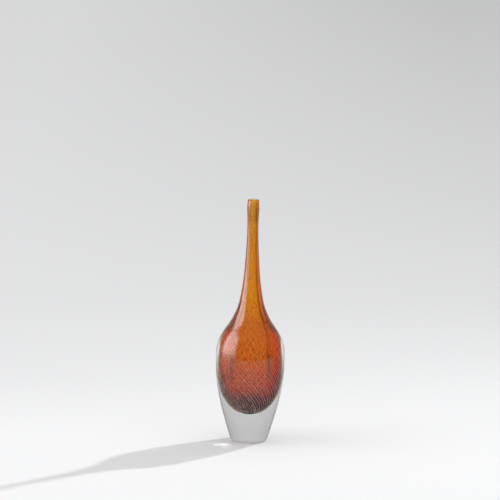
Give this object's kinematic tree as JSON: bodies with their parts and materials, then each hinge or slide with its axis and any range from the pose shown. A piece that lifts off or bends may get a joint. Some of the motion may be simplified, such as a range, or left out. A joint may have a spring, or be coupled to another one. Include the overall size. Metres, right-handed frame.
{
  "type": "bud vase",
  "caption": "Tall blown-glass bud vase: thick clear casing, long narrow neck, and an amber-to-aubergine inner bubble wound with fine pale spiral threads.",
  "frame": {"origin": "centre of the flat ground foot, in the plane that the vase stands on", "axes": "+Z along the vase's axis, from the foot to the mouth; the vase is round, so +X and +Y are free"},
  "size_m": [0.093, 0.093, 0.33],
  "materials": {
    "clear_glass": "fire-polished, with a faint ripple",
    "amber_glass": "smooth transparent amber",
    "ruby_glass": "smooth transparent ruby",
    "aubergine_glass": "smooth dark aubergine",
    "cane_glass": "opal, nearly opaque"
  },
  "bodies": {
    "root": {"clear_casing": "clear_glass", "aubergine_cup": "aubergine_glass", "ruby_cup": "ruby_glass", "amber_sleeve": "amber_glass", "clear_core": "clear_glass", "pale_cane_1": "cane_glass", "pale_cane_2": "cane_glass", "pale_cane_3": "cane_glass", "pale_cane_4": "cane_glass", "pale_cane_5": "cane_glass", "pale_cane_6": "cane_glass", "pale_cane_7": "cane_glass", "pale_cane_8": "cane_glass", "pale_cane_9": "cane_glass", "pale_cane_10": "cane_glass", "pale_cane_11": "cane_glass", "pale_cane_12": "cane_glass", "pale_cane_13": "cane_glass", "pale_cane_14": "cane_glass", "pale_cane_15": "cane_glass", "pale_cane_16": "cane_glass", "pale_cane_17": "cane_glass", "pale_cane_18": "cane_glass", "pale_cane_19": "cane_glass", "pale_cane_20": "cane_glass", "pale_cane_21": "cane_glass", "pale_cane_22": "cane_glass", "pale_cane_23": "cane_glass", "pale_cane_24": "cane_glass", "pale_cane_25": "cane_glass", "pale_cane_26": "cane_glass", "pale_cane_27": "cane_glass", "pale_cane_28": "cane_glass", "pale_cane_29": "cane_glass", "pale_cane_30": "cane_glass", "pale_cane_31": "cane_glass", "pale_cane_32": "cane_glass", "pale_cane_33": "cane_glass", "pale_cane_34": "cane_glass", "pale_cane_35": "cane_glass", "pale_cane_36": "cane_glass", "pale_cane_37": "cane_glass", "pale_cane_38": "cane_glass", "pale_cane_39": "cane_glass", "pale_cane_40": "cane_glass", "pale_cane_41": "cane_glass", "pale_cane_42": "cane_glass"}
  },
  "joints": []
}
